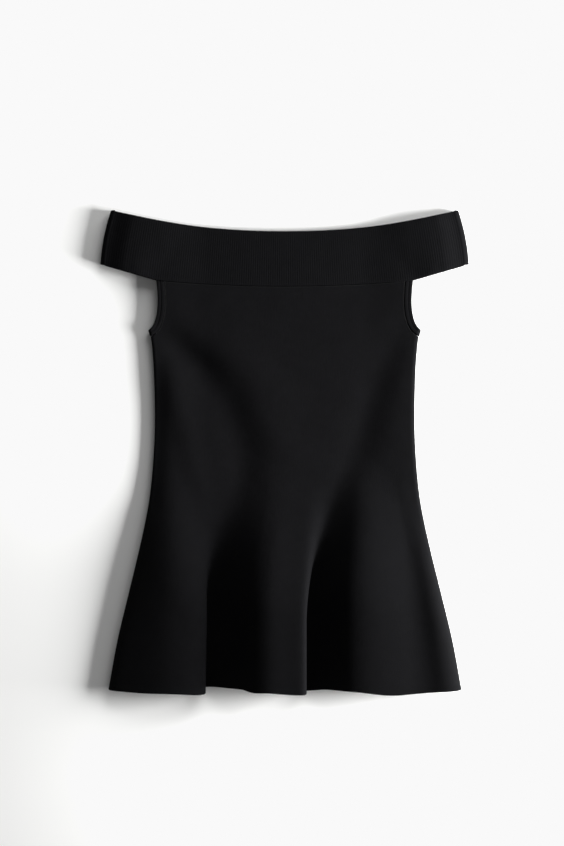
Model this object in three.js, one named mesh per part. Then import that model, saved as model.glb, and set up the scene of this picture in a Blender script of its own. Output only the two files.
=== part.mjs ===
// An off-the-shoulder peplum top in compact knit, laid flat on its back.
// Millimetres. X runs across, Y towards the neckline and Z up from the surface.
import * as THREE from 'three';

// Cloth
const PANEL_WALL = 1.5;
const BAND_WALL = 3;
const BINDING_WALL = 2.2;
const SEAM_GAP = 0.3;
const UNDERARM_GAP = 1;
const BACK_LEVEL = PANEL_WALL / 2;
const FOLD_LEVEL = 6;
const CHEST_LEVEL = 7.2;
const SIDE_LEVEL = 10.6;
const SIDE_ROLL = { starts: 95, ends: 158 };

// Lengthwise places
const WAIST_HALF = 161.6;
const HEM_Y = -297.3;
const HEM_HALF = 219.5;
const FLUTE_REACH = 190;

// Shoulder band
const BAND = { neckY: 276.2, neckRise: 25, neckHalf: 212.5, neckPower: 2.15, topHalf: 215.6, lowHalf: 228.75 };
const BAND_SEAM = { middleY: 207.7, rise: 6.9, half: 160, sleeveSlope: 0.29 };
const BAND_END = { bow: 2.4, level: 10, slope: 30 };
const SLEEVE = { lift: 3.4, lowStarts: 158, topStarts: 110, ends: 188 };

// Half width of the body at each height, from the underarm down
const SIDE = [
  { y: 152.7, half: 169.6 },
  { y: 143.9, half: 166.8 },
  { y: 133.9, half: 165.3 },
  { y: 102.7, half: 163.0 },
  { y: 40.2, half: 161.6 },
  { y: -9.8, half: 163.6 },
  { y: -59.8, half: 168.6 },
  { y: -109.8, half: 178.3 },
  { y: -172.3, half: 193.1 },
  { y: -234.8, half: 208.0 },
  { y: HEM_Y, half: HEM_HALF },
];

// The armhole binding, from the band's seam to the underarm: its free edge and the edge sewn to the panel
const ARMHOLE = [
  { freeX: 160.0, freeY: 213.9, sewnX: 150.2, sewnY: 213.5 },
  { freeX: 158.7, freeY: 197.0, sewnX: 149.2, sewnY: 196.5 },
  { freeX: 158.5, freeY: 186.0, sewnX: 149.0, sewnY: 184.5 },
  { freeX: 159.6, freeY: 174.0, sewnX: 150.4, sewnY: 171.5 },
  { freeX: 162.0, freeY: 164.0, sewnX: 153.6, sewnY: 159.8 },
  { freeX: 165.2, freeY: 157.6, sewnX: 158.3, sewnY: 151.6 },
  { freeX: 167.8, freeY: 154.5, sewnX: 162.9, sewnY: 147.4 },
  { freeX: 169.6, freeY: 152.7, sewnX: 166.8, sewnY: 143.9 },
];

// Lines down the front panel, side seam to side seam: their place across the waist and across the hem,
// their height at the hem, how far they hang below the hem line, and the height where a flute begins
const FRONT_LINES = [
  { line: 'left seam', waist: -161.6, hem: -219.5, lift: 6.15, hang: -0.5, starts: 0 },
  { line: 'left nose', waist: -161.2, hem: -219.5, lift: 9.5, hang: -0.5, starts: 0 },
  { line: 'left shoulder', waist: -158.5, hem: -215.5, lift: 13.2, hang: 0, starts: 5 },
  { line: 'left side', waist: -149.5, hem: -194, lift: 18.5, hang: 1, starts: 15 },
  { line: 'left flank', waist: -142, hem: -170, lift: 24, hang: 2, starts: 15 },
  { line: 'left crest', waist: -132, hem: -147, lift: 27.8, hang: 1.6, starts: 10 },
  { line: 'left back', waist: -120.8, hem: -126, lift: 27.6, hang: 2.4, starts: 0 },
  { line: 'left brow', waist: -108.3, hem: -109, lift: 24, hang: 4, starts: -10 },
  { line: 'left turn', waist: -94.5, hem: -97.4, lift: 17.5, hang: 4, starts: -20 },
  { line: 'left under', waist: -80.8, hem: -100, lift: 10, hang: 1, starts: -28 },
  { line: 'left tuck', waist: -69.5, hem: -103.5, lift: 4.6, hang: -3, starts: -26 },
  { line: 'left floor', waist: -59, hem: -95, lift: 5, hang: -4, starts: -20 },
  { line: 'left floor middle', waist: -48.5, hem: -80, lift: 11, hang: -4, starts: -14 },
  { line: 'left floor end', waist: -38.5, hem: -64, lift: 20, hang: -3.5, starts: -10 },
  { line: 'centre foot', waist: -30, hem: -51, lift: 28, hang: -4, starts: -10 },
  { line: 'centre rise', waist: -23.5, hem: -45, lift: 33, hang: -1.8, starts: -10 },
  { line: 'centre flank', waist: -17.5, hem: -39, lift: 37, hang: -1, starts: -10 },
  { line: 'centre shoulder', waist: -11.5, hem: -32, lift: 40.5, hang: -1.2, starts: -12 },
  { line: 'centre top', waist: -4.5, hem: -21, lift: 43.5, hang: -2, starts: -14 },
  { line: 'centre crest', waist: 3.5, hem: -9, lift: 43.8, hang: -1, starts: -16 },
  { line: 'centre back', waist: 13, hem: 6, lift: 43.4, hang: 0.3, starts: -18 },
  { line: 'centre brow', waist: 23.5, hem: 18.5, lift: 44, hang: 0.5, starts: -20 },
  { line: 'centre turn', waist: 35, hem: 27.2, lift: 43, hang: 0.5, starts: -22 },
  { line: 'centre under', waist: 47, hem: 26, lift: 24, hang: 0.5, starts: -22 },
  { line: 'centre tuck', waist: 57.5, hem: 19.5, lift: 5.8, hang: 1, starts: -20 },
  { line: 'right floor', waist: 66, hem: 27, lift: 5, hang: 1.5, starts: -12 },
  { line: 'right floor middle', waist: 73, hem: 42, lift: 11, hang: -0.8, starts: -4 },
  { line: 'right floor end', waist: 80.5, hem: 55, lift: 18, hang: -2.2, starts: 0 },
  { line: 'right foot', waist: 87.5, hem: 65.5, lift: 25, hang: -2.2, starts: 2 },
  { line: 'right rise', waist: 93.5, hem: 74, lift: 31, hang: -2.2, starts: 2 },
  { line: 'right flank', waist: 99, hem: 82, lift: 35.2, hang: -2.2, starts: 0 },
  { line: 'right shoulder', waist: 104.5, hem: 91, lift: 37.4, hang: -2, starts: -2 },
  { line: 'right top', waist: 110.5, hem: 102, lift: 38.7, hang: -1, starts: -5 },
  { line: 'right crest', waist: 117, hem: 117, lift: 38.8, hang: 1, starts: -10 },
  { line: 'right back', waist: 123.5, hem: 134, lift: 37.4, hang: 2.4, starts: -15 },
  { line: 'right slope', waist: 130, hem: 151, lift: 35.1, hang: 1.2, starts: -20 },
  { line: 'right trough', waist: 136.5, hem: 168, lift: 32.4, hang: 0, starts: -25 },
  { line: 'right rim', waist: 142.5, hem: 183, lift: 32.4, hang: -1, starts: -25 },
  { line: 'right side', waist: 149, hem: 197, lift: 36, hang: -2, starts: -30 },
  { line: 'right shoulder edge', waist: 155, hem: 210, lift: 34.5, hang: -2.7, starts: -30 },
  { line: 'right roll', waist: 159.5, hem: 218, lift: 28, hang: -3, starts: -30 },
  { line: 'right nose', waist: 161.4, hem: 219.5, lift: 21, hang: -3, starts: -30 },
  { line: 'right seam', waist: 161.6, hem: 219.5, lift: 14.15, hang: -3, starts: -30 },
];

// Lines down the back panel, which lies on the surface and has lower waves inside the front's flutes
const BACK_LINES = [
  { line: 'left seam', waist: -161.6, hem: -219.5, lift: 5.85, hang: -1.5, starts: 0 },
  { line: 'left nose', waist: -161.2, hem: -219.4, lift: 2.8, hang: -2, starts: 0 },
  { line: 'left curl', waist: -158, hem: -216, lift: 0.75, hang: -3, starts: 0 },
  { line: 'left edge floor', waist: -148, hem: -203, lift: 0.75, hang: -3, starts: 0 },
  { line: 'left wave foot', waist: -135, hem: -187, lift: 0.75, hang: -3, starts: 0 },
  { line: 'left wave rise', waist: -122, hem: -170, lift: 8, hang: -3, starts: -10 },
  { line: 'left wave crest', waist: -108, hem: -153, lift: 14, hang: -3, starts: -10 },
  { line: 'left wave fall', waist: -94, hem: -136, lift: 8, hang: -3, starts: -20 },
  { line: 'left floor', waist: -80, hem: -120, lift: 0.75, hang: -4, starts: -30 },
  { line: 'left floor middle', waist: -66, hem: -95, lift: 0.75, hang: -6, starts: -30 },
  { line: 'left floor end', waist: -52, hem: -66, lift: 0.75, hang: -6, starts: -30 },
  { line: 'centre foot', waist: -40, hem: -42, lift: 0.75, hang: -5, starts: -32 },
  { line: 'centre rise', waist: -26, hem: -29, lift: 12, hang: -4, starts: -32 },
  { line: 'centre crest', waist: -10, hem: -13, lift: 24, hang: -4, starts: -32 },
  { line: 'centre fall', waist: 6, hem: 2, lift: 12, hang: -4, starts: -32 },
  { line: 'centre floor', waist: 22, hem: 14, lift: 0.75, hang: -4, starts: -32 },
  { line: 'right floor', waist: 38, hem: 38, lift: 0.75, hang: -4, starts: -30 },
  { line: 'right floor end', waist: 54, hem: 64, lift: 0.75, hang: -5, starts: -25 },
  { line: 'right foot', waist: 70, hem: 87, lift: 0.75, hang: -5, starts: -20 },
  { line: 'right rise', waist: 86, hem: 104, lift: 10, hang: -4, starts: -20 },
  { line: 'right crest', waist: 101, hem: 124, lift: 18, hang: -3, starts: -20 },
  { line: 'right fall', waist: 114, hem: 146, lift: 12, hang: -3, starts: -20 },
  { line: 'right low', waist: 127, hem: 167, lift: 4, hang: -3, starts: -25 },
  { line: 'right edge floor', waist: 140, hem: 186, lift: 0.75, hang: -3, starts: -30 },
  { line: 'right curl', waist: 151, hem: 204, lift: 1.2, hang: -4, starts: -30 },
  { line: 'right curl rise', waist: 158.5, hem: 215, lift: 4, hang: -4, starts: -30 },
  { line: 'right nose', waist: 161.3, hem: 219.4, lift: 8.5, hang: -4, starts: -30 },
  { line: 'right seam', waist: 161.6, hem: 219.5, lift: 13.85, hang: -4, starts: -30 },
];

// Soft creases on the front's upper body: ridges rise and troughs are negative
const CREASES = [
  { name: 'left armhole', from: [-155, 150], via: [-136, 142], to: [-92, 96], width: 16, rise: -3.6 },
  { name: 'left underarm', from: [-153, 132], via: [-42, 82], to: [-50, -62], width: 23, rise: -4.2 },
  { name: 'left chest', from: [-104, 162], via: [-28, 108], to: [0, -14], width: 34, rise: 2.6 },
  { name: 'left side', from: [-140, 100], via: [-128, 40], to: [-98, -72], width: 17, rise: 2.4 },
  { name: 'left side fall', from: [-160, 112], via: [-161, 30], to: [-166, -60], width: 14, rise: -3.4 },
  { name: 'right underarm', from: [146, 150], via: [104, 70], to: [68, -72], width: 20, rise: -3.2 },
];

// Facets
const FRONT_COLUMNS = 58;
const BACK_COLUMNS = 46;
const ROWS_BELOW_ARMHOLE = 19;
const BAND_COLUMNS = 26;
const BAND_NOSE_STEPS = 6;
const BAND_ROWS = 4;
const BINDING_COLUMNS = 3;
const CREASE_STEPS = 16;

const mix = (a, b, share) => a + (b - a) * share;
const smooth = (value, low, high) => THREE.MathUtils.smoothstep(value, low, high);

// A value read off a table at a height, on a smooth curve through its rows
function readTable(rows, key, y) {
  const last = rows.length - 1;
  let i = 0;
  while (i < last - 1 && y < rows[i + 1].y) i += 1;
  const before = rows[Math.max(i - 1, 0)];
  const after = rows[Math.min(i + 2, last)];
  const slopeIn = (rows[i + 1][key] - before[key]) / (rows[i + 1].y - before.y);
  const slopeOut = (after[key] - rows[i][key]) / (after.y - rows[i].y);
  const span = rows[i + 1].y - rows[i].y;
  const t = THREE.MathUtils.clamp((y - rows[i].y) / span, 0, 1);
  const rise = rows[i + 1][key] - rows[i][key];
  const easeIn = t * (1 - t) * (1 - t) * (slopeIn * span - rise);
  const easeOut = t * t * (1 - t) * (slopeOut * span - rise);
  return rows[i][key] + rise * t + easeIn - easeOut;
}

// A cubic B-spline along the lines' values, which starts and ends on the first and last line
function alongLines(lines, key, share) {
  const knots = share * (lines.length + 1);
  const first = Math.min(Math.floor(knots), lines.length);
  const t = knots - first;
  const weights = [
    (1 - t) ** 3,
    3 * t ** 3 - 6 * t ** 2 + 4,
    -3 * t ** 3 + 3 * t ** 2 + 3 * t + 1,
    t ** 3,
  ];
  return weights.reduce((sum, weight, i) => {
    const line = lines[THREE.MathUtils.clamp(first + i - 2, 0, lines.length - 1)];
    return sum + (weight * line[key]) / 6;
  }, 0);
}

// Where the body's side fold lies; above the underarm it runs outward, clear of the armhole
function sideHalf(y) {
  const underarm = SIDE[0];
  return y > underarm.y ? underarm.half + y - underarm.y : readTable(SIDE, 'half', y);
}

// Where a panel's edge lies: sewn to the armhole binding above the underarm, on the side fold below
const sewnEdge = ARMHOLE.map((row) => ({ y: row.sewnY, half: row.sewnX }));

function panelHalf(y) {
  return y > sewnEdge[sewnEdge.length - 1].y ? readTable(sewnEdge, 'half', y) : readTable(SIDE, 'half', y);
}

// How far a round fold has dropped at a distance inside its outermost line
function foldDrop(inside, radius) {
  const reach = radius - THREE.MathUtils.clamp(inside, 0, radius);
  return radius - Math.sqrt(Math.max(radius * radius - reach * reach, 0));
}

const creaseRoutes = CREASES.map((crease) => {
  const ends = [crease.from, crease.via, crease.to].map((place) => new THREE.Vector2(...place));
  const spots = new THREE.QuadraticBezierCurve(...ends).getPoints(CREASE_STEPS);
  return { ...crease, spots };
});

// How far the creases raise the cloth; each one fades out towards its ends
function creaseRise(x, y) {
  return creaseRoutes.reduce((sum, crease) => {
    const shares = crease.spots.map((spot, i) => {
      const fade = Math.sqrt(Math.sin((Math.PI * (i + 1)) / (CREASE_STEPS + 2)));
      const away = ((x - spot.x) ** 2 + (y - spot.y) ** 2) / crease.width ** 2;
      return fade * Math.exp(-away);
    });
    return sum + crease.rise * Math.max(...shares);
  }, 0);
}

// Height of the front's middle where it lies flat: the chest and its side rolls
function frontLevel(x) {
  const roll = smooth(Math.abs(x), SIDE_ROLL.starts, SIDE_ROLL.ends);
  return mix(CHEST_LEVEL, SIDE_LEVEL, roll);
}

// The same across the band, which arches over the arm openings and slopes down to its end folds
function bandLevel(x, up, inside, radius) {
  const starts = mix(SLEEVE.lowStarts, SLEEVE.topStarts, up);
  const arch = frontLevel(x) + SLEEVE.lift * smooth(Math.abs(x), starts, SLEEVE.ends);
  return mix(BAND_END.level, arch, smooth(inside, radius, BAND_END.slope));
}

const layers = {
  front: {
    edge: FOLD_LEVEL + SEAM_GAP / 2,
    level: (x, y) => frontLevel(x) + creaseRise(x, y),
  },
  back: {
    edge: FOLD_LEVEL - SEAM_GAP / 2,
    level: () => BACK_LEVEL,
  },
};

// Height of a layer's middle on the upper body, round the side fold too
function bodyHeight(layer, x, y) {
  const inside = sideHalf(y) - Math.abs(x);
  const level = layer.level(x, y);
  const radius = Math.abs(level - layer.edge);
  return level + Math.sign(layer.edge - level) * foldDrop(inside, radius);
}

// The band's lower edge: sewn to the body in the middle, free along the sleeves
function bandLowY(x) {
  const out = Math.abs(x);
  const sewn = Math.min(out, BAND_SEAM.half) / BAND_SEAM.half;
  const sleeve = Math.max(out - BAND_SEAM.half, 0) * BAND_SEAM.sleeveSlope;
  return BAND_SEAM.middleY + BAND_SEAM.rise * sewn * sewn + sleeve;
}

const bandTopY = (x) => BAND.neckY + BAND.neckRise * (Math.abs(x) / BAND.neckHalf) ** BAND.neckPower;

// Rows down a panel, as shares of its length: one at each row of the armhole table, then even ones
function panelRows() {
  const top = ARMHOLE[0].sewnY;
  const shares = ARMHOLE.map((row) => (top - row.sewnY) / (top - HEM_Y));
  const armholeEnd = shares[shares.length - 1];
  for (let i = 1; i <= ROWS_BELOW_ARMHOLE; i += 1) {
    shares.push(mix(armholeEnd, 1, i / ROWS_BELOW_ARMHOLE));
  }
  return shares;
}

// A point on the middle of a panel: the flat body above, turning into the flutes of the hem below
function panelPoint(layer, lines, across, down) {
  const read = (key) => alongLines(lines, key, across);
  const share = read('waist') / WAIST_HALF;
  const top = bandLowY(share * ARMHOLE[0].sewnX) - SEAM_GAP;
  const flatY = mix(top, HEM_Y, down);
  const starts = read('starts');
  const opened = smooth(starts - flatY, 0, FLUTE_REACH);
  const y = flatY - read('hang') * opened;
  const half = panelHalf(y);
  const flatX = share * half;
  const hem = read('hem');
  const spread = mix(1, half / HEM_HALF, (hem / HEM_HALF) ** 2);
  const x = mix(flatX, hem * spread, opened);
  const z = mix(bodyHeight(layer, flatX, flatY), read('lift'), opened);
  return new THREE.Vector3(x, y, z);
}

function panelGrid(layer, lines, columns) {
  return panelRows().map((down) => {
    return Array.from({ length: columns + 1 }, (_, i) => panelPoint(layer, lines, i / columns, down));
  });
}

// One loop round the flattened band: the front from left to right, the fold, the back and the other fold
function bandLoop(up) {
  const edge = (side) => {
    const low = new THREE.Vector2(side * BAND.lowHalf, bandLowY(side * BAND.lowHalf));
    const top = new THREE.Vector2(side * BAND.topHalf, bandTopY(side * BAND.topHalf));
    const place = low.lerp(top, up);
    place.x += side ** 7 * BAND_END.bow * 4 * up * (1 - up);
    return place;
  };
  const half = edge(1).x;
  const radius = (BAND_END.level - BAND_WALL / 2) / 2;
  const backLevel = BAND_WALL / 2;
  const front = [];
  const back = [];
  for (let i = 0; i <= BAND_COLUMNS; i += 1) {
    const side = mix(-1, 1, i / BAND_COLUMNS) * (1 - radius / half);
    const place = edge(side);
    const inside = half * (1 - Math.abs(side));
    front.push(new THREE.Vector3(place.x, place.y, bandLevel(place.x, up, inside, radius)));
    back.unshift(new THREE.Vector3(place.x, place.y, backLevel));
  }
  const fold = (side) => {
    const place = edge(side);
    const start = Math.abs(edge(side * (1 - radius / half)).x);
    return Array.from({ length: BAND_NOSE_STEPS - 1 }, (_, i) => {
      const turn = (Math.PI * (i + 1)) / BAND_NOSE_STEPS;
      const x = side * (start + (Math.abs(place.x) - start) * Math.sin(turn));
      return new THREE.Vector3(x, place.y, backLevel + radius * (1 + side * Math.cos(turn)));
    });
  };
  return [...front, ...fold(1), ...back, ...fold(-1)];
}

function bandGrid() {
  return Array.from({ length: BAND_ROWS + 1 }, (_, i) => bandLoop(1 - i / BAND_ROWS));
}

// The binding runs down the front armhole edge, round the underarm fold and up the back one
function bindingGrid(side) {
  const leg = (height) => ARMHOLE.map((row, station) => {
    return Array.from({ length: BINDING_COLUMNS + 1 }, (_, i) => {
      const sewn = new THREE.Vector2(row.sewnX, row.sewnY);
      const free = new THREE.Vector2(row.freeX, row.freeY);
      const atUnderarm = station === ARMHOLE.length - 1;
      const gap = (atUnderarm ? UNDERARM_GAP : SEAM_GAP) / sewn.distanceTo(free);
      const place = sewn.lerp(free, mix(gap, 1, i / BINDING_COLUMNS));
      const topGap = Math.min(place.y, bandLowY(place.x) - SEAM_GAP);
      return new THREE.Vector3(side * place.x, topGap, height(place.x, place.y));
    });
  });
  const roundFold = (level) => (x, y) => {
    const radius = Math.abs(level(x, y) - FOLD_LEVEL);
    const drop = foldDrop(sideHalf(y) - x, radius);
    return level(x, y) + Math.sign(FOLD_LEVEL - level(x, y)) * drop;
  };
  const front = leg(roundFold((x, y) => frontLevel(side * x) + creaseRise(side * x, y)));
  const back = leg(roundFold(() => BINDING_WALL / 2));
  return [...front, ...back.reverse().slice(1)];
}

// The direction that a grid's face looks in at one of its points
function faceDirection(grid, row, column, ring) {
  const width = grid[0].length;
  const at = (r, c) => {
    const wrapped = ring ? (c + width) % width : THREE.MathUtils.clamp(c, 0, width - 1);
    return grid[THREE.MathUtils.clamp(r, 0, grid.length - 1)][wrapped];
  };
  const alongColumn = at(row + 1, column).clone().sub(at(row - 1, column));
  const alongRow = at(row, column + 1).clone().sub(at(row, column - 1));
  return alongColumn.cross(alongRow).normalize();
}

// A closed wall round a grid of middle points
function clothWall(grid, wall, ring = false) {
  const rows = grid.length;
  const columns = grid[0].length;
  const positions = [];
  const indices = [];
  [1, -1].forEach((face) => {
    grid.forEach((line, row) => line.forEach((point, column) => {
      const out = faceDirection(grid, row, column, ring).multiplyScalar((face * wall) / 2);
      positions.push(...point.clone().add(out).toArray());
    }));
  });
  const at = (face, row, column) => face * rows * columns + row * columns + (column % columns);
  const quad = (a, b, c, d) => indices.push(a, b, c, a, c, d);
  const lastColumn = ring ? columns : columns - 1;
  for (let row = 0; row < rows - 1; row += 1) {
    for (let column = 0; column < lastColumn; column += 1) {
      quad(at(0, row, column), at(0, row + 1, column), at(0, row + 1, column + 1), at(0, row, column + 1));
      quad(at(1, row, column), at(1, row, column + 1), at(1, row + 1, column + 1), at(1, row + 1, column));
    }
  }
  for (let column = 0; column < lastColumn; column += 1) {
    const end = rows - 1;
    quad(at(0, 0, column), at(0, 0, column + 1), at(1, 0, column + 1), at(1, 0, column));
    quad(at(0, end, column), at(1, end, column), at(1, end, column + 1), at(0, end, column + 1));
  }
  if (!ring) {
    for (let row = 0; row < rows - 1; row += 1) {
      const end = columns - 1;
      quad(at(0, row, 0), at(1, row, 0), at(1, row + 1, 0), at(0, row + 1, 0));
      quad(at(0, row, end), at(0, row + 1, end), at(1, row + 1, end), at(1, row, end));
    }
  }
  const geometry = new THREE.BufferGeometry();
  geometry.setAttribute('position', new THREE.Float32BufferAttribute(positions, 3));
  geometry.setIndex(indices);
  geometry.computeVertexNormals();
  return geometry;
}

function clothMesh(name, geometry, colour) {
  const material = new THREE.MeshStandardMaterial({ color: colour, roughness: 0.9, metalness: 0 });
  const mesh = new THREE.Mesh(geometry, material);
  mesh.name = name;
  return mesh;
}

const KNIT_BLACK = '#161618';
const RIB_BLACK = '#18181a';

const garment = new THREE.Group();
const frontGrid = panelGrid(layers.front, FRONT_LINES, FRONT_COLUMNS);
const backGrid = panelGrid(layers.back, BACK_LINES, BACK_COLUMNS);
garment.add(clothMesh('front_panel', clothWall(frontGrid, PANEL_WALL), KNIT_BLACK));
garment.add(clothMesh('back_panel', clothWall(backGrid, PANEL_WALL), KNIT_BLACK));
garment.add(clothMesh('shoulder_band', clothWall(bandGrid(), BAND_WALL, true), RIB_BLACK));
[['left', -1], ['right', 1]].forEach(([name, side]) => {
  const wall = clothWall(bindingGrid(side), BINDING_WALL);
  garment.add(clothMesh(`armhole_binding_${name}`, wall, RIB_BLACK));
});

// The origin is under the middle of the garment's box
const middle = new THREE.Box3().setFromObject(garment).getCenter(new THREE.Vector3());
garment.position.set(-middle.x, -middle.y, 0);

export default garment;
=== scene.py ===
# %% [markdown]
# # A black peplum top, laid flat
#
# This lesson dresses a knitted top that lies on its back on a white table. The shapes of the cloth were
# settled before, as plain walls in a fixed frame, and Blender now gives them their fine form, their knit
# and their light. Everything is worked out in millimetres, as a pattern cutter would, and turned into
# metres when a mesh is made.

# %% Load the frame
import math

import bpy
import numpy as np
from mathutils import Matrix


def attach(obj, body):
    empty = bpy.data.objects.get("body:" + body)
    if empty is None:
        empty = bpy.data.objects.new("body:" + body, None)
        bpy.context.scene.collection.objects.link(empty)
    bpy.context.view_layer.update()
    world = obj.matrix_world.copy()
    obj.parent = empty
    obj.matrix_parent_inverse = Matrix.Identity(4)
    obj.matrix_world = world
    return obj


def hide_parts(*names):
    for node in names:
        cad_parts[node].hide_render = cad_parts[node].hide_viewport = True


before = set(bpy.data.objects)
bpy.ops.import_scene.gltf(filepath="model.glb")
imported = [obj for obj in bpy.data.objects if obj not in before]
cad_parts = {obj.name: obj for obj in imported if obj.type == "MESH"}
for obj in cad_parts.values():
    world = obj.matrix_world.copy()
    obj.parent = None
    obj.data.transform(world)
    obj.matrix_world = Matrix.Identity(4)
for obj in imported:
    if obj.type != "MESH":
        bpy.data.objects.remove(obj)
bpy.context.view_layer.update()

MM = 0.001
# The pattern's zero lies this far from the middle of the finished top
PATTERN_SHIFT_Y = -0.597
scene = bpy.context.scene

# %% [markdown]
# ## The camera
#
# A product photographer shoots a flat lay from straight above, on a copy stand. A camera in Blender looks
# down its own -Z with +Y up, so a camera that isn't turned at all already looks straight down. The lens
# follows from the height and from the width that the picture covers, so no guessing is needed.

# %% The camera above the table
# These are metres, apart from the sensor and the lens, which Blender counts in millimetres.
CAMERA_HEIGHT = 2.007
# So much of the table's length is in the picture, measured at the height where the chest lies.
PICTURE_LENGTH = 1.0575
PICTURE_PLANE = 0.007
SENSOR_LENGTH = 36.0
CAMERA_X = -0.00325
CAMERA_Y = 0.03584

camera_data = bpy.data.cameras.new("copy_stand")
camera_data.sensor_width = SENSOR_LENGTH
camera_data.lens = SENSOR_LENGTH * (CAMERA_HEIGHT - PICTURE_PLANE) / PICTURE_LENGTH
camera = bpy.data.objects.new("copy_stand", camera_data)
camera.location = (CAMERA_X, CAMERA_Y, CAMERA_HEIGHT)
scene.collection.objects.link(camera)
scene.camera = camera
print("lens", round(camera_data.lens, 2), "mm")

# %% [markdown]
# ## Reading a table on a smooth curve
#
# A pattern is a short table: how wide the body is at each height, or where each fold lies. A straight
# line between the rows would leave corners in the cloth, so the helpers below read the tables on smooth
# curves. They take whole arrays at once, which is what makes thousands of points quick in Python.

# %% Small helpers for numbers and tables
def table(columns, rows):
    """Rows of numbers as one array for each named column."""
    return dict(zip(columns.split(), np.array(list(rows), float).T))


def mix(a, b, share):
    return a + (b - a) * share


def smoothstep(value, low, high):
    t = np.clip((value - low) / (high - low), 0, 1)
    return t * t * (3 - 2 * t)


def read_table(rows, key, y):
    """A column at the heights y; the table's rows run from high to low."""
    heights, values = rows["y"], rows[key]
    y = np.asarray(y, float)
    last = len(heights) - 1
    i = np.clip(np.searchsorted(-heights, -y) - 1, 0, last - 1)
    before = np.maximum(i - 1, 0)
    after = np.minimum(i + 2, last)
    span = heights[i + 1] - heights[i]
    rise = values[i + 1] - values[i]
    slope_in = (values[i + 1] - values[before]) / (heights[i + 1] - heights[before])
    slope_out = (values[after] - values[i]) / (heights[after] - heights[i])
    t = np.clip((y - heights[i]) / span, 0, 1)
    ease_in = t * (1 - t) ** 2 * (slope_in * span - rise)
    ease_out = t * t * (1 - t) * (slope_out * span - rise)
    return values[i] + rise * t + ease_in - ease_out


def along_lines(lines, key, share):
    """A column on a cubic B-spline that starts on the table's first line and ends on its last."""
    values = lines[key]
    knots = np.asarray(share, float) * (len(values) + 1)
    first = np.minimum(knots.astype(int), len(values))
    t = knots - first
    weights = [(1 - t) ** 3, 3 * t**3 - 6 * t**2 + 4, -3 * t**3 + 3 * t**2 + 3 * t + 1, t**3]
    at = [values[np.clip(first + i - 2, 0, len(values) - 1)] for i in range(4)]
    return sum(w * v for w, v in zip(weights, at)) / 6


print("a quarter of the way along, a smooth step has risen", smoothstep(0.25, 0, 1))

# %% [markdown]
# ## The sizes of the top
#
# The body is a tube that lies flat: its sides are folds, not edges. It is 323 mm wide at the waist and
# 439 mm at the hem. The armholes are bound with a narrow knitted strip, and a wide band, folded double
# at the neckline, runs straight round body and arms.

# %% Sizes of body, armhole and band
# How thick the cloth is, how far apart the pieces lie at a seam, and at what heights the layers lie.
PANEL_WALL = 1.5
BAND_WALL = 3.0
BINDING_WALL = 2.2
SEAM_GAP = 0.3
UNDERARM_GAP = 1.0
BACK_LEVEL = PANEL_WALL / 2
FOLD_LEVEL = 6.0
CHEST_LEVEL = 7.2
SIDE_LEVEL = 10.6
SIDE_ROLL_STARTS, SIDE_ROLL_ENDS = 95.0, 158.0

# Half widths of the body, the hem's line, and the height over which a flute opens.
WAIST_HALF = 161.6
HEM_Y = -297.3
HEM_HALF = 219.5
FLUTE_REACH = 190.0

# The band's neckline, its seam on the body, its rounded ends and the lift of the sleeves.
NECK_Y, NECK_RISE, NECK_HALF, NECK_POWER = 276.2, 25.0, 212.5, 2.15
BAND_TOP_HALF, BAND_LOW_HALF = 215.6, 228.75
SEAM_MIDDLE_Y, SEAM_RISE, SEAM_HALF, SLEEVE_SLOPE = 207.7, 6.9, 160.0, 0.29
BAND_END_BOW, BAND_END_LEVEL, BAND_END_SLOPE = 2.4, 10.0, 30.0
SLEEVE_LIFT, SLEEVE_LOW_STARTS, SLEEVE_TOP_STARTS, SLEEVE_ENDS = 3.4, 158.0, 110.0, 188.0

SIDE = table("y half", [
    (152.7, 169.6),
    (143.9, 166.8),
    (133.9, 165.3),
    (102.7, 163.0),
    (40.2, 161.6),
    (-9.8, 163.6),
    (-59.8, 168.6),
    (-109.8, 178.3),
    (-172.3, 193.1),
    (-234.8, 208.0),
    (HEM_Y, HEM_HALF),
])

ARMHOLE = table("free_x free_y sewn_x sewn_y", [
    (160.0, 213.9, 150.2, 213.5),
    (158.7, 197.0, 149.2, 196.5),
    (158.5, 186.0, 149.0, 184.5),
    (159.6, 174.0, 150.4, 171.5),
    (162.0, 164.0, 153.6, 159.8),
    (165.2, 157.6, 158.3, 151.6),
    (167.8, 154.5, 162.9, 147.4),
    (169.6, 152.7, 166.8, 143.9),
])
SEWN_EDGE = {"y": ARMHOLE["sewn_y"], "half": ARMHOLE["sewn_x"]}
UNDERARM_Y = ARMHOLE["sewn_y"][-1]
print("waist", 2 * WAIST_HALF, "mm, hem", 2 * HEM_HALF, "mm")

# %% [markdown]
# ## Where each flute runs
#
# A peplum flares because its hem is cut far longer than the waist. Laid down, the spare width stands up
# in rounded flutes that lean to one side. Each row below is a line from the waist down to the hem: its
# place across both, how high it lies at the hem, how far it hangs past the hem line, and the height at
# which the flute starts. Simulated cloth would fall in folds of its own, so these are placed where the
# real top has them: a low one at the left, a steep one in the middle and a broad one at the right. The
# cloth drops steeply off the right side of a flute, touches the table, and climbs slowly into the next
# one. That slow climb faces away from the light, so it looks like a dark valley.

# %% Lines down the front and the back
LINE_COLUMNS = "waist hem lift hang starts"

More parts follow.
